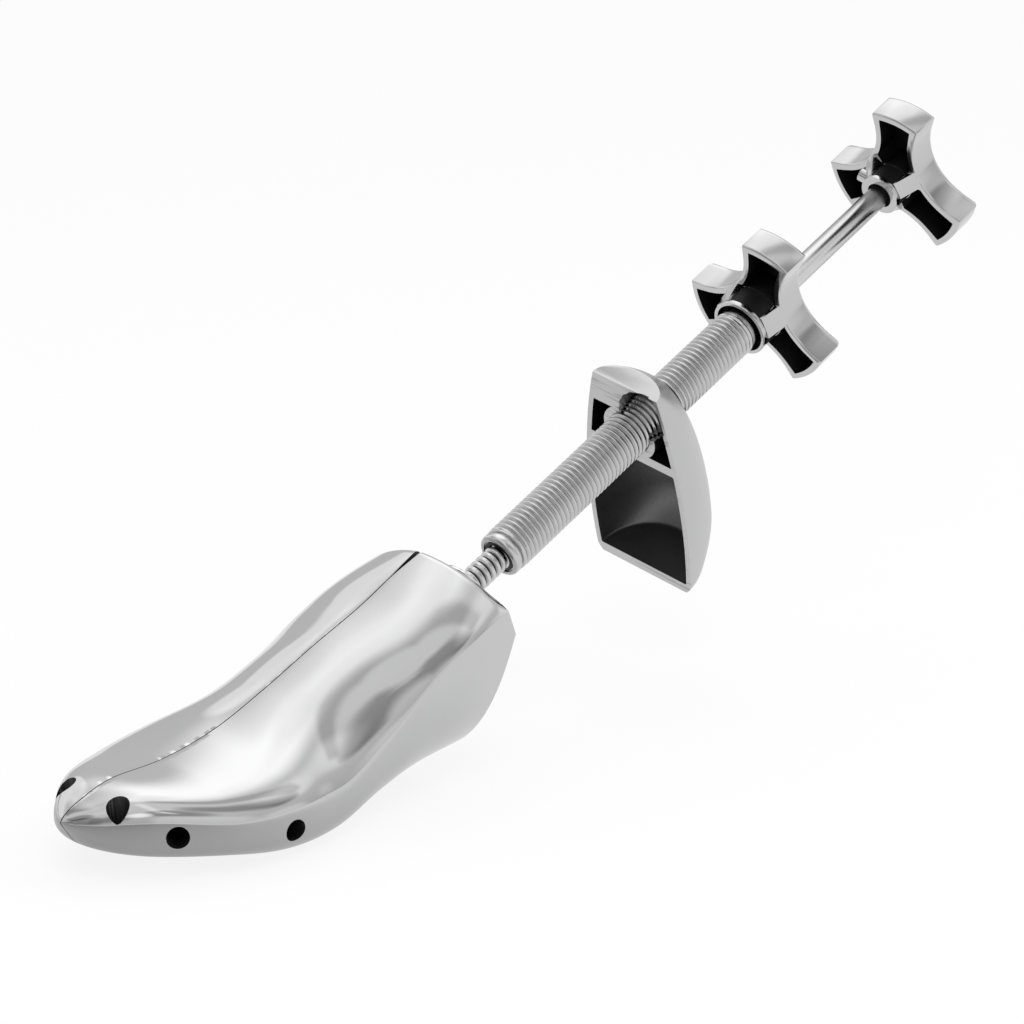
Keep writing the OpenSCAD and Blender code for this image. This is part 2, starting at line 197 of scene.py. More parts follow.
FLOOR_HALF, FLOOR_DROP = 6.0, 0.0006
FLOOR_BASE, FLOOR_MIRRORED, FLOOR_LIT = 0.85, 0.954, 0.135
# The grey patch shows only in mirrors: a painted reflection.
PATCH_PLACE, PATCH_FULL, PATCH_GONE, PATCH_AMOUNT = (-0.52, -0.06, 0), 0.21, 0.56, -0.57


def make_floor():
    """Floor: one large sheet, plain white to the camera. Castings mirror it with one soft grey
    patch, a smooth step of the distance from its place. The glow that they mirror is that level
    less what the lamps add, over the glow's share."""
    mesh = bpy.data.meshes.new("floor")
    corners = [(x * FLOOR_HALF, y * FLOOR_HALF, 0) for x, y in ((-1, -1), (1, -1), (1, 1), (-1, 1))]
    mesh.from_pydata(corners, [], [(0, 1, 2, 3)])
    floor = bpy.data.objects.new("floor", mesh)
    floor.location.z = -FLOOR_DROP
    bpy.context.scene.collection.objects.link(floor)
    material = bpy.data.materials.new("floor")
    material.use_nodes = True
    shade = Shade(material.node_tree)
    place = shade.add("TexCoord", output=3)
    away = shade.add("VectorMath", {"operation": "DISTANCE"}, {0: place, 1: PATCH_PLACE}, output=1)
    level = FLOOR_MIRRORED + (1 - away.step(PATCH_FULL, PATCH_GONE)) * PATCH_AMOUNT
    path = shade.tree.nodes.new("ShaderNodeLightPath")
    seen = Val(shade.tree, path.outputs["Is Camera Ray"])
    mirrored = Val(shade.tree, path.outputs["Is Glossy Ray"])
    mirrored = mirrored.math("MAXIMUM", Val(shade.tree, path.outputs["Is Transmission Ray"]))
    shown = ((level - FLOOR_LIT) * (1 / FLOOR_BASE)).math("MAXIMUM", 0.0)
    shown = shown * (1 - seen) + seen
    diffuse = shade.add("BsdfDiffuse", sockets={"Color": (FLOOR_BASE, FLOOR_BASE, FLOOR_BASE, 1)})
    glow = shade.add("Emission", sockets={"Color": shade.grey(shown), "Strength": 1.0})
    share = seen.math("MAXIMUM", mirrored) * FLOOR_BASE
    both = shade.add("MixShader", sockets={0: share, 1: diffuse, 2: glow})
    shade.add("OutputMaterial", sockets={"Surface": both})
    mesh.materials.append(material)


# Broad soft lamps: one above the camera's left, one from the right. Name, place, size, power.
LAMPS = (("key", (-0.7, -0.9, 1.3), 0.9, 9.0), ("fill", (0.9, -0.9, 0.9), 0.8, 4.0))
LAMPS_AIM = Vector((0, 0, 0.08))


def make_lamps():
    """Square area lamps that point at the object and aren't mirrored themselves."""
    for name, place, size, power in LAMPS:
        data = bpy.data.lights.new(name, "AREA")
        data.size = size
        data.energy = power
        lamp = bpy.data.objects.new(name, data)
        lamp.location = place
        lamp.visible_glossy = False
        lamp.rotation_euler = (LAMPS_AIM - Vector(place)).to_track_quat("-Z", "Y").to_euler()
        bpy.context.scene.collection.objects.link(lamp)


bpy.context.scene.view_settings.view_transform = "Standard"
make_world()
make_floor()
make_lamps()

# Last, two mirrored halves
# Hollow aluminium castings, mirror polished outside, that lie together at a split down the
# middle. Each has three plug holes at the toe, and lugs inside that hang on the yoke's pins.
X_MID = 18.6
AXIS_TILT = math.radians(26)
AXIS_Z = 60.0
REAR_FACE = 24.5
HINGE_SET = 14.5
HINGE_AT = -REAR_FACE - HINGE_SET
PEG_AT = HINGE_AT - 67
WEDGE_RIB_AT, WEDGE_RIB_SIDE, WEDGE_RIB_R = HINGE_AT - 42, 9.29, 3.0
LUG_THICK, LUG_R, PIN_HOLE_R = 1.6, 2.8, 1.31
LAST_WALL = 3.6
SPLIT_GAP = 0.4
OPEN_ANGLE = math.radians(4)
HEEL_CUT_AT, HEEL_CUT_TILT = -20.5, math.radians(27)
PLUG_R = 3.5
REAR_ROUND, REAR_ROWS, ROUND_FADE = 4.0, 90, 7.0
# Place along the last, half width, sole, top, height of the widest line, and the powers of the
# section above and below that line.
STATIONS = np.array([
    (-179, 0.0, 18, 18, 18, 2, 2),
    (-177, 4.6, 15, 20.2, 17, 2.2, 2.2),
    (-171.8, 12, 9.4, 23, 15.7, 2.8, 2.5),
    (-160, 23, 5.5, 26.7, 15, 3, 3),
    (-140, 34.7, 2.7, 27.8, 13.7, 2.6, 3.2),
    (-120, 38.8, -0.8, 32, 14.8, 2.2, 3.2),
    (-100, 36.6, -0.5, 39.8, 15.5, 1.9, 3.2),
    (-80, 34.2, 3.4, 48.8, 25.5, 1.82, 3),
    (-60, 34, 6.4, 57.2, 40.5, 1.72, 2.8),
    (-40, 32.8, 8.1, 67.2, 50, 1.6, 2.8),
    (-10, 26, 9.4, 81, 57, 1.4, 3)])


def along_axis(at, side=0.0, up=0.0):
    """A point of the screw axis's frame, in millimetres, as a point of the model in metres."""
    c, s = math.cos(AXIS_TILT), math.sin(AXIS_TILT)
    return Vector((at * c - up * s - X_MID, side, AXIS_Z + at * s + up * c)) * MM


def axis_points(at, side, up):
    """Arrays of the screw axis's frame, in millimetres, as one array of points of the model."""
    at, side, up = np.broadcast_arrays(at, side, up)
    c, s = math.cos(AXIS_TILT), math.sin(AXIS_TILT)
    return np.stack([at * c - up * s - X_MID, side, AXIS_Z + at * s + up * c], -1) * MM


def axis_dir(forward, side=0.0):
    """A direction of the screw axis's frame as a direction of the model."""
    return Vector((forward * math.cos(AXIS_TILT), side, forward * math.sin(AXIS_TILT)))


def smooth_rows(table, shares):
    """Catmull-Rom curve through the rows of a table, at shares counted in rows."""
    last = len(table) - 1
    k = np.minimum(np.floor(shares).astype(int), last - 1)
    s = (shares - k)[:, None]
    a, b, c, d = [table[np.clip(k + j, 0, last)] for j in (-1, 0, 1, 2)]
    square, cube = 2 * a - 5 * b + 4 * c - d, 3 * b - a - 3 * c + d
    return 0.5 * (2 * b + (c - a) * s + square * s**2 + cube * s**3)


def power_arc(rows, angle, inset):
    """Half section of the last above and below its widest line. Out to the side it is the half
    width times the sine to the power 2 / p, up or down the height times the cosine to 2 / p."""
    w = np.maximum(rows[:, 1:2] - inset, 0)
    sole, top = rows[:, 2:3] + inset, rows[:, 3:4] - inset
    wide = np.clip(rows[:, 4:5], sole, np.maximum(top, sole))
    sine, cosine = np.sin(angle), np.cos(angle)
    upper = cosine >= 0
    power = np.where(upper, rows[:, 5:6], rows[:, 6:7])
    y = w * np.abs(sine) ** (2 / power)
    z = wide + np.where(upper, top - wide, sole - wide) * np.abs(cosine) ** (2 / power)
    return y, z


def sheet_mesh(name, grid, ends=True, seam=False):
    """Mesh of a grid of points: rows of quads, closed to a solid by a seam and two ends. With a
    seam the last column joins the first."""
    rows, cols = grid.shape[:2]
    number = np.arange(rows * cols).reshape(rows, cols)
    near = number if seam else number[:, :-1]
    far = np.roll(number, -1, axis=1) if seam else number[:, 1:]
    corners = np.stack([near[:-1], near[1:], far[1:], far[:-1]], -1)
    faces = [tuple(f) for f in corners.reshape(-1, 4).tolist()]
    if ends:
        faces += [tuple(number[0].tolist()), tuple(number[-1][::-1].tolist())]
    mesh = bpy.data.meshes.new(name)
    mesh.from_pydata(grid.reshape(-1, 3).tolist(), [], faces)
    return mesh


def tidy(mesh, merge=1e-6):
    """Merges doubles, drops slivers and turns the faces outwards."""
    bm = bmesh.new()
    bm.from_mesh(mesh)
    bmesh.ops.remove_doubles(bm, verts=bm.verts, dist=merge)
    bmesh.ops.dissolve_degenerate(bm, edges=bm.edges, dist=merge)
    bmesh.ops.recalc_face_normals(bm, faces=bm.faces)
    bm.to_mesh(mesh)
    bm.free()
    return mesh


def cut(mesh, point, normal):
    """Cuts away what lies on the normal's side of a plane and closes the cut."""
    bm = bmesh.new()
    bm.from_mesh(mesh)
    everything = bm.verts[:] + bm.edges[:] + bm.faces[:]
    made = bmesh.ops.bisect_plane(bm, geom=everything, dist=1e-7, plane_co=point, plane_no=normal,
                                  clear_outer=True)
    edges = [e for e in made["geom_cut"] if isinstance(e, bmesh.types.BMEdge)]
    bmesh.ops.holes_fill(bm, edges=edges, sides=0)
    bm.to_mesh(mesh)
    bm.free()
    return mesh


def as_object(name, mesh):
    """New object of a mesh, in the scene."""
    piece = bpy.data.objects.new(name, mesh)
    bpy.context.scene.collection.objects.link(piece)
    return piece


def round_bar(name, start, end, radii, sides=48):
    """Closed bar between two points: one radius, or radii at even steps along it."""
    axis = (end - start).normalized()
    u = axis.orthogonal().normalized()
    v = axis.cross(u)
    turn = np.linspace(0, 2 * np.pi, sides, endpoint=False)
    ring = np.cos(turn)[:, None] * np.array(u) + np.sin(turn)[:, None] * np.array(v)
    radii = np.broadcast_to(radii, (2,)) if np.isscalar(radii) else np.asarray(radii)
    share = np.linspace(0, 1, len(radii))[:, None, None]
    grid = np.array(start) * (1 - share) + np.array(end) * share + ring * radii[:, None, None]
    return tidy(sheet_mesh(name, grid, seam=True))


def block(name, low, high, at):
    """Box between two corners in millimetres, at a place of the screw axis."""
    xs, ys, zs = zip(low, high)
    points = [along_axis(at + x, y, z) for x in xs for y in ys for z in zs]
    faces = [(0, 1, 3, 2), (4, 6, 7, 5), (0, 4, 5, 1), (2, 3, 7, 6), (0, 2, 6, 4), (1, 5, 7, 3)]
    mesh = bpy.data.meshes.new(name)
    mesh.from_pydata(points, [], faces)
    return tidy(mesh)


def bake_modifiers(piece):
    """Puts what an object's modifiers make in place of its mesh."""
    depsgraph = bpy.context.evaluated_depsgraph_get()
    made = bpy.data.meshes.new_from_object(piece.evaluated_get(depsgraph))
    piece.modifiers.clear()
    piece.data = made


def boolean(target, cutters, operation="DIFFERENCE", slot=0):
    """Applies solid booleans of meshes to an object's mesh, one after another. The faces
    that a mesh leaves behind get its material slot."""
    for mesh in cutters:
        mesh.polygons.foreach_set("material_index", np.full(len(mesh.polygons), slot, np.int32))
        tool = as_object("tool", mesh)
        step = target.modifiers.new("cut", "BOOLEAN")
        step.operation = operation
        step.solver = "EXACT"
        step.object = tool
        bake_modifiers(target)
        bpy.data.objects.remove(tool)


def crease(mesh, degrees):
    """Smooth shading, kept sharp at edges that turn by more than an angle."""
    bm = bmesh.new()
    bm.from_mesh(mesh)
    for face in bm.faces:
        face.smooth = True
    for edge in bm.edges:
        edge.smooth = len(edge.link_faces) == 2 and edge.calc_face_angle() < math.radians(degrees)
    bm.to_mesh(mesh)
    bm.free()


def round_edges(piece, width, segments, degrees):
    """Rounds the edges that turn by more than an angle, as polishing does."""
    step = piece.modifiers.new("round", "BEVEL")
    step.width = width * MM
    step.segments = segments
    step.limit_method = "ANGLE"
    step.angle_limit = math.radians(degrees)
    step.use_clamp_overlap = True
    bake_modifiers(piece)


def metal(name, base, rough, grain=0.0, grain_scale=900.0, mottle=0.04, wave=0.0, grooves=None):
    """Metal: a colour with slow mottling, roughness with a fine grain, and a slight bump.
    Grooves are the radii about the screw axis below which painted shade darkens the colour
    fully and above which not at all, and the share of brightness left."""
    material = bpy.data.materials.new(name)
    material.use_nodes = True
    shade = Shade(material.node_tree)
    place = shade.add("TexCoord", output=3)
    slow = shade.add("TexNoise", sockets={"Vector": place, "Scale": 45.0, "Detail": 3.0})
    fine = shade.add("TexNoise", sockets={"Vector": place, "Scale": grain_scale, "Detail": 4.0})
    level = base + (slow - 0.5) * mottle
    if grooves:
        deep, unshaded, left = grooves
        # Painted shade: darker where the surface lies deeper in a thread's groove.
        off = shade.add("VectorMath", {"operation": "SUBTRACT"}, {0: place, 1: along_axis(0)})
        off = shade.add("VectorMath", {"operation": "CROSS_PRODUCT"}, {0: off, 1: axis_dir(1)})
        radius = shade.add("VectorMath", {"operation": "LENGTH"}, {0: off}, output=1)
        level = level * (radius.step(deep * MM, unshaded * MM) * (1 - left) + left)
    color = shade.add("CombineColor", sockets={"Red": level, "Green": level, "Blue": level * 1.006})
    roughness = (rough + (fine - 0.5) * (0.25 * rough) + (slow - 0.5) * (0.3 * rough)).clamp()
    swell = shade.add("TexNoise", sockets={"Vector": place, "Scale": 18.0, "Detail": 1.0})
    height = fine * grain + swell * wave
    bump = shade.add("Bump", sockets={"Height": height, "Strength": 1.0, "Distance": 0.0001})
    surface = shade.add("BsdfPrincipled", sockets={
        "Base Color": color, "Metallic": 1.0, "Roughness": roughness, "Normal": bump})
    shade.add("OutputMaterial", sockets={"Surface": surface})
    return material


def last_grid(inset, first, rows, cols, soft=0.0):
    """Grid of one half's surface: rows along the last, columns from the seam round to the sole.
    A soft radius rounds the upper edge of the rear face: each section shrinks towards its widest
    line by a quarter circle of its distance to the face, less where it is near that line."""
    last = len(STATIONS) - 1
    shares = np.linspace(first, last, rows)
    if soft:
        shares = np.linspace(first, last - 1, rows)
        shares = np.concatenate([shares, np.linspace(last - 1, last, REAR_ROWS)[1:]])
    table = smooth_rows(STATIONS, shares)
    angle = np.linspace(0, np.pi, cols)[None, :]
    y, z = power_arc(table, angle, inset)
    x = np.repeat(table[:, :1], cols, 1)
    if soft:
        to_face = -REAR_FACE - x * math.cos(AXIS_TILT) - (z - AXIS_Z) * math.sin(AXIS_TILT)
        near = np.clip(1 - to_face / soft, 0, 1)
        high = z - table[:, 4:5]
        drop = soft * (1 - np.sqrt(1 - near ** 2)) * np.clip(high / ROUND_FADE, 0, 1)
        shrink = 1 - drop / np.maximum(np.hypot(y, high), 1)
        y, z = y * shrink, table[:, 4:5] + high * shrink
    z = np.maximum(z, 0.0) if inset == 0 else z
    return np.stack([x - X_MID, y, z], -1) * MM


# Plug holes: place, turns about X, Y and Z, depth.
PLUGS = (
    ((-157, 26.5, 14), (-90, 0, 40), 12),
    ((-122, 38.5, 10.5), (-90, 0, 8), 12),
    ((-167, 12, 20.5), (-3, -6, 0), 7))


def plug_line(plug):
    """Point and outward direction of a plug hole."""
    (x, y, z), angles, _ = plug
    turn = Euler([math.radians(a) for a in angles], "XYZ").to_matrix()
    return Vector(((x - X_MID) * MM, y * MM, z * MM)), turn @ Vector((0, 0, 1))


def half_shell(name):
    """Outer loft of one half, cut at the heel, at the rear face, at the split, and at a plane
    through the hinge that lets the half swing open behind it."""
    outer = tidy(sheet_mesh(name, last_grid(0, 0, 230, 97, REAR_ROUND), seam=True))
    heel_point = Vector(((HEEL_CUT_AT - X_MID) * MM, 0, 45 * MM))
    heel_normal = Vector((math.cos(HEEL_CUT_TILT), 0, -math.sin(HEEL_CUT_TILT)))
    split_point, split_normal = Vector((0, SPLIT_GAP / 2 * MM, 0)), Vector((0, -1, 0))
    swing_point = along_axis(HINGE_AT, SPLIT_GAP / 2 + 0.06)
    swing_normal = axis_dir(math.sin(OPEN_ANGLE), -math.cos(OPEN_ANGLE))
    cut(outer, heel_point, heel_normal)
    cut(outer, along_axis(-REAR_FACE), axis_dir(1))
    cut(outer, split_point, split_normal)
    cut(outer, swing_point, swing_normal)
    return tidy(outer)


def half_hollow(lugs):
    """Hollow of one half: the loft less its wall, less the rib that the wedge runs on and its
    web, the rear wall, the spring peg's boss, the lugs and the plug holes' bosses."""
    hollow = tidy(sheet_mesh("hollow", last_grid(LAST_WALL, 2, 90, 41), seam=True))
    hollow = as_object("hollow", hollow)
    rib = [along_axis(WEDGE_RIB_AT, WEDGE_RIB_SIDE, up) for up in (-9, 9)]
    web = (-1.5, WEDGE_RIB_SIDE, -8.8), (1.5, 60, 8.8)
    inside = [round_bar("rib", *rib, WEDGE_RIB_R * MM, 32),
              block("web", *web, WEDGE_RIB_AT),
              block("rear_wall", (-LAST_WALL, -1, -60), (60, 60, 60), -REAR_FACE),
              round_bar("peg_boss", along_axis(PEG_AT, 13), along_axis(PEG_AT, 53), 4 * MM, 32)]
    for z in lugs:
        inside.append(block("lug", (-LUG_R, -1, z), (LUG_R, 60, z + LUG_THICK), HINGE_AT))
    for plug in PLUGS:
        point, out = plug_line(plug)
        ends = point - out * 9 * MM, point + out * 2 * MM
        inside.append(round_bar("plug_boss", *ends, (PLUG_R + 2) * MM, 40))
    boolean(hollow, inside)
    mesh = hollow.data.copy()
    bpy.data.objects.remove(hollow)
    return mesh


def half_holes():
    """Holes of one half: round the yoke's neck and the buffer ring, with room for the swing, the
    plug holes and the spring peg's hole."""
    swing = HINGE_SET * math.sin(OPEN_ANGLE) + 0.4
    holes = [
        round_bar("neck_hole", along_axis(-REAR_FACE - 8), along_axis(2), (5.9 + swing) * MM, 64),
        round_bar("ring_pocket", along_axis(-REAR_FACE - 2), along_axis(2), (9.5 + swing) * MM, 64)]
    for plug in PLUGS:
        point, out = plug_line(plug)
        ends = point - out * plug[2] * MM, point + out * 12 * MM
        holes.append(round_bar("plug_hole", *ends, PLUG_R * MM, 64))
    ends = along_axis(PEG_AT, 11), along_axis(PEG_AT, 18.2)
    holes.append(round_bar("peg_hole", *ends, 1.53 * MM, 24))
    return holes


def make_half(side, lug_at, node, body):
    """One half of the last: shell, hollow and holes, then the lugs' round ends and the pin's
    hole. The near half is the same shape mirrored, with its lugs at another height."""
    lugs = (lug_at, -lug_at - LUG_THICK)
    piece = as_object(side + "_half_shell", half_shell(node + "_outer"))
    piece.data.materials.append(polished)
    piece.data.materials.append(raw_and_shaded)
    boolean(piece, [half_hollow(lugs)], slot=1)
    boolean(piece, half_holes(), slot=1)
    for z in lugs:
        ends = along_axis(HINGE_AT, 0, z), along_axis(HINGE_AT, 0, z + LUG_THICK)
        boolean(piece, [round_bar("knuckle", *ends, LUG_R * MM, 40)], "UNION", 1)
    ends = along_axis(HINGE_AT, 0, -30), along_axis(HINGE_AT, 0, 16)
    boolean(piece, [round_bar("pin_hole", *ends, PIN_HOLE_R * MM, 32)], slot=1)
    tidy(piece.data)
    if side == "near":
        mirror(piece.data)
    round_edges(piece, 0.35, 2, 40)
    crease(piece.data, 25)
    # The split faces take the near-black finish: painted shade in the seam.
    for face in piece.data.polygons:
        if abs(face.normal.y) > 0.99 and abs(face.center.y) < 1.3 * MM:
            face.material_index = 1
    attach(piece, body)
    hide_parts(node)


def mirror(mesh):
    """Mirrors a closed mesh in the plane y = 0 and turns its faces outwards again."""
    points = np.empty(len(mesh.vertices) * 3)
    mesh.vertices.foreach_get("co", points)
    points[1::3] *= -1
    mesh.vertices.foreach_set("co", points)
    mesh.flip_normals()


polished = metal("polished_casting", 0.56, 0.06, grain=0.02, wave=0.2)
# Rough as cast inside, and near black as painted shade in the hollows, holes and the split faces of the
# seam.
raw_and_shaded = metal("raw_casting_painted_shade", 0.10, 0.6, grain=1.0, grain_scale=700.0)
make_half("near", 7.3, "last_half_near", "half_near")
make_half("far", 9.2, "last_half_far", "half_far")

# Yoke, nut bush, wedge and the small steel parts inside the last
# A machined steel yoke hangs the halves on two ground pins and guides the wedge. The nut
# bush is brass, kept from turning by a dowel, and a coil spring pulls the halves together.
machined = metal("machined_steel", 0.60, 0.32, grain=0.25, grain_scale=500.0)
ground = metal("ground_pins", 0.66, 0.2, grain=0.1)


def brass_metal():
    """Machined brass: yellow metal with turning marks."""
    material = metal("machined_brass", 0.6, 0.25, grain=0.15)
    tree = material.node_tree
    shader = next(n for n in tree.nodes if n.type == "BSDF_PRINCIPLED")
    for link in list(shader.inputs["Base Color"].links):
        tree.links.remove(link)
    shader.inputs["Base Color"].default_value = (0.72, 0.52, 0.24, 1)
    return material


brass = brass_metal()


def finish_nodes(material, *nodes):
    """Gives CAD nodes that keep their mesh a finish."""
    for name in nodes:
        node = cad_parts[name]
        node.data.materials.clear()
        node.data.materials.append(material)


finish_nodes(machined, "hinge_yoke", "wedge_block")
finish_nodes(ground, "nut_pin", "hinge_pins", "spring_peg_near", "spring_peg_far", "tip_washer",
             "tip_screw", "front_knob_pin", "rear_knob_pin")
finish_nodes(brass, "spindle_nut", "tube_rear_bush")


SPRING_TURNS, SPRING_R, SPRING_WIRE, SPRING_HALF = 14, 2.7, 0.42, 12.2


def make_spring():
    """Return spring: a round wire wound about the pegs' common line. A point's radius is the
    coil's plus the wire's times the cosine about the wire; its place along the line grows evenly
    with the turn, plus the wire's radius times the sine."""
    turn = np.linspace(0, SPRING_TURNS * 2 * np.pi, SPRING_TURNS * 32 + 1)[:, None]
    round_wire = np.linspace(0, 2 * np.pi, 8, endpoint=False)[None, :]
    radius = SPRING_R + SPRING_WIRE * np.cos(round_wire)
    middle = SPRING_HALF * (turn / (SPRING_TURNS * np.pi) - 1)
    side = middle + SPRING_WIRE * np.sin(round_wire)
    grid = axis_points(PEG_AT + radius * np.sin(turn), side, radius * np.cos(turn))
    coil = as_object("spring_coil", tidy(sheet_mesh("spring_coil", grid, seam=True)))
    crease(coil.data, 60)
    coil.data.materials.append(machined)
    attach(coil, "carrier")
    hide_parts("return_spring")


make_spring()


# Buffer and thrust washer behind the last
# A black rubber ring cushions the tube's push, and a bright steel washer lies over it.
def rubber():
    """Matt black rubber with a faint moulded grain."""
    material = bpy.data.materials.new("black_rubber")
    material.use_nodes = True
    shade = Shade(material.node_tree)
    place = shade.add("TexCoord", output=3)
    fine = shade.add("TexNoise", sockets={"Vector": place, "Scale": 1500.0, "Detail": 3.0})
    bump = shade.add("Bump", sockets={"Height": fine, "Strength": 0.4, "Distance": 0.0001})
    surface = shade.add("BsdfPrincipled", sockets={
        "Base Color": shade.grey(0.012 + fine * 0.01), "Roughness": 0.55 + fine * 0.1, "Normal": bump})
    shade.add("OutputMaterial", sockets={"Surface": surface})
    return material


def turned(name, profile, body, node, material, sides=96):
    """Solid of revolution about the screw axis: a closed profile of (place, radius) pairs."""
    profile = np.array(profile, float)
    turn = np.linspace(0, 2 * np.pi, sides, endpoint=False)
    at, r = profile[:, :1], profile[:, 1:2]
    grid = axis_points(at, r * np.sin(turn), r * np.cos(turn))
    grid = np.concatenate([grid, grid[:1]])
    piece = as_object(name, tidy(sheet_mesh(name, grid, ends=False, seam=True)))
    crease(piece.data, 35)
    piece.data.materials.append(material)
    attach(piece, body)
    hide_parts(node)


def rounded(low, high, inner, outer, soft):
    """Profile of a ring with its two outer edges rounded to quarter circles."""
    bend = np.linspace(0, np.pi / 2, 6)
    front = [(low + soft * (1 - math.cos(a)), outer - soft * (1 - math.sin(a))) for a in bend]
    back = [(high - soft * (1 - math.sin(a)), outer - soft * (1 - math.cos(a))) for a in bend[::-1]]
    return [(low, inner), (low, outer - soft)] + front[1:] + back + [(high, inner)]


bright = metal("bright_steel", 0.82, 0.08, grain=0.02)
turned("buffer", rounded(-24.6, -17.7, 4.9, 9.5, 0.9), "carrier", "buffer_ring",
       rubber())
turned("washer", rounded(-17.67, -16.57, 4.8, 10.0, 0.25), "carrier", "thrust_washer",
       bright)


# Spindle
# A steel rod with a coarse rolled thread on its front part, smooth and bright behind it.
def screw_grid(start, end, radius, pitch, depth, crest, per_pitch=10, sides=72, fade=0.8):
    """Screw surface: rows run along the thread's own slant, so each row is one place of its
    profile; the radius is the outer one less the depth times a rounded groove that starts
    past the crest's share of the pitch, and the grooves fade out towards both ends."""
    turns = (end - start) / pitch
    rows = int(turns * per_pitch) + 1
    turn = np.linspace(0, 2 * np.pi, sides + 1)
    base = start - pitch + pitch * np.arange(rows + per_pitch + 1)[:, None] / per_pitch
    at = base + pitch * turn[None, :] / (2 * np.pi)
    phase = (np.arange(rows + per_pitch + 1)[:, None] % per_pitch) / per_pitch
    tooth = np.clip((np.abs(phase * 2 - 1) - crest) / (0.92 - crest), 0, 1)
    tooth = tooth * tooth * (3 - 2 * tooth)
    near_end = np.clip(np.minimum(at - start, end - at) / (fade * pitch), 0, 1)
    r = radius - depth * (tooth * near_end + (1 - near_end) * 0.15)
    return axis_points(np.clip(at, start, end), r * np.sin(turn), r * np.cos(turn))


def ring_row(at, radius, sides):
    """One closed ring of points square to the screw axis."""
    turn = np.linspace(0, 2 * np.pi, sides + 1)
    return axis_points(at, radius * np.sin(turn), radius * np.cos(turn))[None]


def screw_piece(name, before, thread, after, sides, body, node, material):
    """Closed piece: rings before the thread, the screw surface, then rings behind it."""
    front = [ring_row(at, radius, sides) for at, radius in before]
    back = [ring_row(at, radius, sides) for at, radius in after]
    mesh = sheet_mesh(name, np.concatenate(front + [thread] + back), ends=False)
    piece = as_object(name, tidy(mesh, 2e-6))
    crease(piece.data, 45)
    piece.data.materials.append(material)
    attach(piece, body)
    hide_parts(node)


# Painted shade darkens the spindle's thread grooves to about an eighth of the brightness.
rod_steel = metal("bright_rod", 0.62, 0.22, grain=0.05, grooves=(3.45, 3.95, 0.12))
THREAD_R, ROD_R = 4.5, 4.0
spindle_thread = screw_grid(-56.9, 5.0, THREAD_R, 2.5, 1.1, 0.4, per_pitch=16, sides=96)
# Rings of the plain tip with the tip screw's hole, and of the smooth rod behind the thread.
spindle_tip = [(-77, 0), (-77, 1.53), (-85.1, 1.53), (-85.1, 2.8), (-84.9, 3), (-56.9, 3), (-56.9, 3.6)]
spindle_rear = [(5.0, 3.9), (5.6, ROD_R), (226.9, ROD_R), (227.2, 3.7), (227.2, 0)]
screw_piece("spindle", spindle_tip, spindle_thread, spindle_rear,
            96, "spindle", "spindle_rod", rod_steel)

# Large tube and its front bush
# A steel tube with a rolled 2 mm pitch thread; its mouth is chamfered and holds a plain bush.
# Painted shade darkens the tube's thread grooves, and all that lies deeper, to three quarters of the
# brightness.
thread_steel = metal("zinc_thread", 0.56, 0.18, grain=0.3, grain_scale=700.0, mottle=0.16,
                     grooves=(7.3, 7.7, 0.75))
TUBE_R, TUBE_BORE = 8.0, 5.15
TUBE_FRONT, TUBE_END = 0.3, 146.0


def tube_lip():
    """Rings of the tube's rounded lip, from its bore out and back to the groove before the thread."""
    bend = np.linspace(0, np.pi / 2, 7)
    lip = [(0.5 * (1 - math.sin(a)), 6.4 - 0.4 * math.cos(a)) for a in bend]
    lip += [(1.3 * (1 - math.cos(a)), 6.4 + 1.35 * math.sin(a)) for a in bend[1:]]
    lip += [(3.0, 7.75), (3.25, 7.5), (3.4, 7.1), (3.9, 7.1), (4.1, 7.5), (4.3, 7.8)]
    return [(TUBE_FRONT + at, radius) for at, radius in lip]


tube_thread = screw_grid(TUBE_FRONT + 4.4, 125.2, TUBE_R, 2.0, 0.7, 0.2, per_pitch=12, sides=84)
screw_piece("threaded_tube", [(TUBE_END, TUBE_BORE), (1.35, TUBE_BORE), (1.35, 6.0)] + tube_lip(),
            tube_thread, [(125.4, 7.7), (125.7, 7.7), (TUBE_END, 7.7), (TUBE_END, TUBE_BORE)],
            84, "tube", "length_tube", thread_steel)
# The bush is near black: painted shade in the gap between the tube's mouth and the spindle.
bush_shade_black = metal("bush_painted_shade", 0.05, 0.45)
bush_profile = [(0.6, 4.56), (0.6, 5.4), (0.8, 5.6), (1.2, 5.6), (1.2, 5.09), (12, 5.09), (12, 4.56)]
turned("tube_bush", bush_profile, "tube_guide", "tube_front_bush", bush_shade_black)

# Heel block
# A satin casting, open to the front, that rides on the tube by a female thread. A web parts its
# deep lower hollow from two small ones beside the threaded boss, and a milled relief at its top.
satin = metal("satin_casting", 0.53, 0.34, grain=0.4, grain_scale=1200.0)
# Painted shade: dark grey in the heel block's deep lower hollow.
shade_grey = metal("heel_hollow_painted_shade", 0.19, 0.45, grain=0.6, grain_scale=900.0)
# Painted shade: near black in the heel block's small hollows and bore, and in the knobs' hollows, hubs
# and counterbores.
shade_black = metal("hollow_painted_shade_black", 0.03, 0.6, grain=0.6)
HEEL_AT, HEEL_SWIVEL = 68.2, math.radians(16)
HEEL_WALL, HEEL_DROP, HEEL_TOP = 1.9, 66.4, 21.0
HEEL_HALF, HEEL_SIDE_R, HEEL_WIDEST = 21.0, 257.0, -42.0
HEEL_DEEP, HEEL_DEEPEST, HEEL_ABOVE, HEEL_BELOW = 28.5, -47.0, 71.2, 22.8
RELIEF_R, RELIEF_LONG, RELIEF_TURN, RELIEF_LEAN = 9.2, 50.0, math.radians(31), math.radians(30)


def heel_place(x, y, z):
    """Heel block's frame to the model: a swivel about the tube, then the slope of the axis."""
    c, s = math.cos(HEEL_SWIVEL), math.sin(HEEL_SWIVEL)
    return axis_points(HEEL_AT + x, y * c - z * s, y * s + z * c)


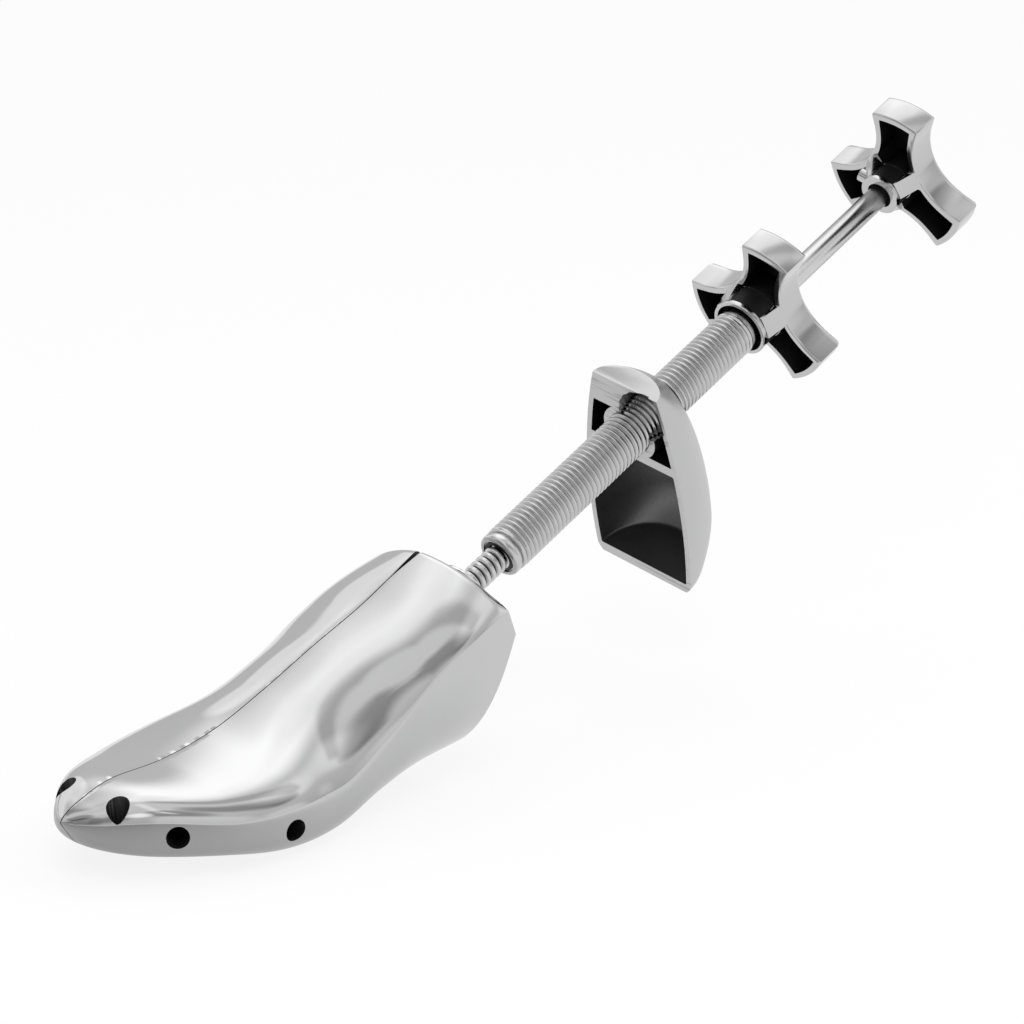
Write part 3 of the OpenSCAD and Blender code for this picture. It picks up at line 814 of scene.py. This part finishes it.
def heel_shell(name, low, high, inset, front, rows, cols):
    """D-shaped rings: half width is a shallow arc of the height, drawn in over the lowest 4 mm,
    depth an ellipse of the height, and each ring is half an ellipse closed by the flat front."""
    z = np.linspace(low, high, rows)[:, None]
    corner = np.maximum(4 - HEEL_DROP - z, 0) / 4
    arc = np.sqrt(HEEL_SIDE_R ** 2 - (z - HEEL_WIDEST) ** 2) - HEEL_SIDE_R
    half = HEEL_HALF + arc - corner ** 2 * 1.8 - inset
    share = (z - HEEL_DEEPEST) / np.where(z > HEEL_DEEPEST, HEEL_ABOVE, HEEL_BELOW)
    deep = HEEL_DEEP * np.sqrt(np.maximum(1 - share ** 2, 0.02)) - inset
    turn = np.linspace(np.pi / 2, -np.pi / 2, cols)[None, :]
    x = np.concatenate([np.full_like(z, front), deep * np.cos(turn), np.full_like(z, front)], 1)
    y = np.concatenate([half, half * np.sin(turn), -half], 1)
    return tidy(sheet_mesh(name, heel_place(x, y, z + 0 * x), seam=True))


def heel_bar(start, end, radii, sides=96):
    """Round bar between two points of the heel block's frame; radii as in round_bar."""
    return round_bar("bar", Vector(heel_place(*start)), Vector(heel_place(*end)),
                     np.multiply(radii, MM), sides)


def ridged(radius, length, pitch, depth):
    """Radii of a threaded bar: a triangle wave, four steps to a turn."""
    steps = np.arange(int(length / pitch * 4) + 1)
    return radius + depth * np.abs((steps / 4) % 1 * 2 - 1)


def soft_tool(name, mesh, width, segments):
    """A cutter with rounded edges, as an object."""
    tool = as_object(name, mesh)
    round_edges(tool, width, segments, 40)
    return tool


def make_heel():
    """Heel block: outer shell less its hollows, the tube's bore and the threaded relief, which
    stays a thin wall short of the outside."""
    shell = heel_shell("heel", -HEEL_DROP, HEEL_TOP, 0, -0.01, 140, 97)
    casting = as_object("heel_casting", shell)
    for finish in (satin, shade_grey, shade_black):
        casting.data.materials.append(finish)
    small = as_object("small", heel_shell("small", -7.7, 8.4, HEEL_WALL, -1, 40, 65))
    boolean(small, [heel_bar((-2, 0, 0), (40, 0, 0), TUBE_R + 2.6)])
    lower = heel_shell("lower", 4 - HEEL_DROP, -11.5, HEEL_WALL, -5, 80, 65)
    lower = soft_tool("lower", lower, 2.4, 4)
    lean = math.sin(RELIEF_LEAN)
    out = (-math.cos(RELIEF_LEAN), -lean * math.sin(RELIEF_TURN), lean * math.cos(RELIEF_TURN))
    start = np.array([22, 0, 0])
    end = start + np.array(out) * RELIEF_LONG
    relief = as_object("relief", heel_bar(start, end, ridged(RELIEF_R, RELIEF_LONG, 2, 0.35)))
    boolean(relief, [heel_shell("limit", -30, 26, 1.2, -6, 60, 65)], "INTERSECT")
    # Slot 1 is the lower hollow's dark grey painted shade, slot 2 the small hollows' black painted shade.
    for tool, slot in ((lower, 1), (small, 2), (relief, 0)):
        boolean(casting, [tool.data.copy()], slot=slot)
        bpy.data.objects.remove(tool)
    # The bore takes the black painted shade.
    boolean(casting, [heel_bar((-5, 0, 0), (60, 0, 0), TUBE_R + 0.06)], slot=2)
    round_edges(casting, 0.45, 3, 40)
    crease(casting.data, 35)
    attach(casting, "heel")
    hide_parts("heel_block")


make_heel()

# Knobs
# Two three-lobed castings, polished outside, with painted black shade in the hollows behind their faces.
# Each hub stands proud of the rim: the front one is pinned to the tube, the rear to the rod.
knob_metal = metal("knob_casting", 0.54, 0.14, grain=0.05, wave=0.25)
KNOB_R, KNOB_T, KNOB_WALL, SCOOP_R, SCOOP_AT = 28.0, 11.5, 2.2, 21.8, 34.1
SOFT_FRONT, SOFT_BACK = 0.8, 1.8
COLLAR_LONG, HUB_SET, HUB_INSET = 1.6, 0.4, 0.2


def lobe_radius(angle, inset, soften):
    """Radius of the three-lobed outline at an angle: the lesser of the lobe circle and the near
    side of the scoop circle, blended so that the lobes' corners are round."""
    off = (angle + np.pi / 3) % (2 * np.pi / 3) - np.pi / 3
    outer = KNOB_R - inset
    reach = (SCOOP_R + inset) ** 2 - (SCOOP_AT * np.sin(off)) ** 2
    scoop = np.where(reach > 0, SCOOP_AT * np.cos(off) - np.sqrt(np.maximum(reach, 0)), 99.0)
    gap = np.clip(1 - np.abs(scoop - outer) / soften, 0, 1)
    return np.minimum(scoop, outer) - gap ** 2 * soften / 4


def knob_place(at, turn, x, y, z):
    """Knob's frame to the model: z runs back along the axis from the rim, x points down."""
    c, s = math.cos(turn), math.sin(turn)
    return axis_points(at + z, y * c + x * s, y * s - x * c)


def knob_rib(at, turn, angle, hub_r, proud, half):
    """Rib along the hub towards one of the scoops: wide at the rim, level with the hub in front."""
    rows = []
    for z, reach in ((1.8 - proud, hub_r), (0.8, 12.2)):
        across = np.array([-half, half, half, -half])
        away = np.array([reach, reach, hub_r * 0.4, hub_r * 0.4])
        x = away * math.cos(angle) - across * math.sin(angle)
        y = away * math.sin(angle) + across * math.cos(angle)
        rows.append(knob_place(at, turn, x, y, z))
    return tidy(sheet_mesh("rib", np.stack(rows), seam=True))


def knob_body(at, turn):
    """Solid body: rings of the three-lobed outline, drawn in by quarter circles at both edges."""
    angle = np.linspace(0, 2 * np.pi, 240, endpoint=False)[None, :]
    bend = np.linspace(0, np.pi / 2, 7)[:, None]
    inset = np.concatenate([SOFT_FRONT * (1 - np.sin(bend)), SOFT_BACK * (1 - np.cos(bend))])
    back = KNOB_T - SOFT_BACK + SOFT_BACK * np.sin(bend)
    depth = np.concatenate([SOFT_FRONT * (1 - np.cos(bend)), back])
    radius = lobe_radius(angle, 0, 3.0) - inset
    return knob_place(at, turn, radius * np.cos(angle), radius * np.sin(angle), depth)


def knob_pocket(at, turn, k, hub_r, half_rib):
    """Hollow of one lobe: from the hub's circle out to the outline less its wall, between the
    ribs, and from in front of the rim back to the rear wall."""
    reach = np.radians(60) - math.asin(half_rib / (hub_r + 0.6))
    phi = np.radians(60 + 120 * k) + np.linspace(-1, 1, 49) * reach
    rim = np.maximum(lobe_radius(phi, KNOB_WALL, 1.6), hub_r + 0.05)
    loop_x = np.concatenate([rim * np.cos(phi), (hub_r * np.cos(phi))[::-1]])
    loop_y = np.concatenate([rim * np.sin(phi), (hub_r * np.sin(phi))[::-1]])
    levels = np.array([[-1.0], [KNOB_T - KNOB_WALL]])
    return knob_place(at, turn, loop_x, loop_y, levels)


def make_knob(name, node, body, at, turn, hub_r, proud, half_rib, bosses, bores):
    """Knob: body, three hollows cut from the front and painted black as shade, a hub painted black
    as shade behind a bright collar, ribs between the hollows, bosses and bores. A bore is its two
    ends, radius and material slot."""
    piece = as_object(name, tidy(sheet_mesh(name, knob_body(at, turn), seam=True)))
    piece.data.materials.append(knob_metal)
    piece.data.materials.append(shade_black)
    for k in range(3):
        pocket = sheet_mesh("pocket", knob_pocket(at, turn, k, hub_r, half_rib), seam=True)
        boolean(piece, [tidy(pocket, 1e-7)], slot=1)
    front = at - proud
    ends = along_axis(front + HUB_SET), along_axis(at + KNOB_T - 0.3)
    hub = round_bar("hub", *ends, (hub_r - HUB_INSET) * MM, 96)
    ribs = [knob_rib(at, turn, math.radians(120 * k), hub_r, proud, half_rib) for k in range(3)]
    ends = along_axis(front), along_axis(front + COLLAR_LONG)
    collar = round_bar("collar", *ends, hub_r * MM, 96)
    boolean(piece, [hub], "UNION", 1)
    boolean(piece, [collar] + ribs + bosses, "UNION", 0)
    for low, high, radius, slot in bores:
        boolean(piece, [round_bar("bore", along_axis(low), along_axis(high), radius * MM, 96)], slot=slot)
    round_edges(piece, 0.45, 3, 40)
    crease(piece.data, 38)
    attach(piece, body)
    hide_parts(node)


FRONT_RIM, REAR_RIM = 137.7, 217.2
FRONT_TURN, REAR_TURN = math.radians(26.5), math.radians(18)
# Bores: the rod's, the tube's, and the counterbore in front, painted black as shade.
FRONT_BORES = [
    (FRONT_RIM - 12, FRONT_RIM + 13, ROD_R + 0.6, 0),
    (FRONT_RIM - 11.5, TUBE_END + 0.2, TUBE_R + 0.03, 0),
    (FRONT_RIM - 11, FRONT_RIM - 6.1, TUBE_R + 1.2, 1)]
make_knob("front_handle", "front_knob", "tube", FRONT_RIM, FRONT_TURN,
          TUBE_R + 2.4, 9.7, 4.0, [], FRONT_BORES)
# The rear hub has a boss for its cross pin. Bores: the rod's, and the counterbore, painted black as
# shade.
REAR_BORES = [
    (REAR_RIM - 11, 227.7, ROD_R + 0.03, 0),
    (REAR_RIM - 10, REAR_RIM - 7.4, ROD_R + 0.8, 1)]
boss_ends = along_axis(REAR_RIM - 4.5), along_axis(REAR_RIM - 4.5, 10, 4.4)
pin_boss = round_bar("boss", *boss_ends, 2.3 * MM, 40)
make_knob("rear_handle", "rear_knob", "spindle", REAR_RIM, REAR_TURN,
          ROD_R + 3.4, 8.8, 3.0, [pin_boss], REAR_BORES)
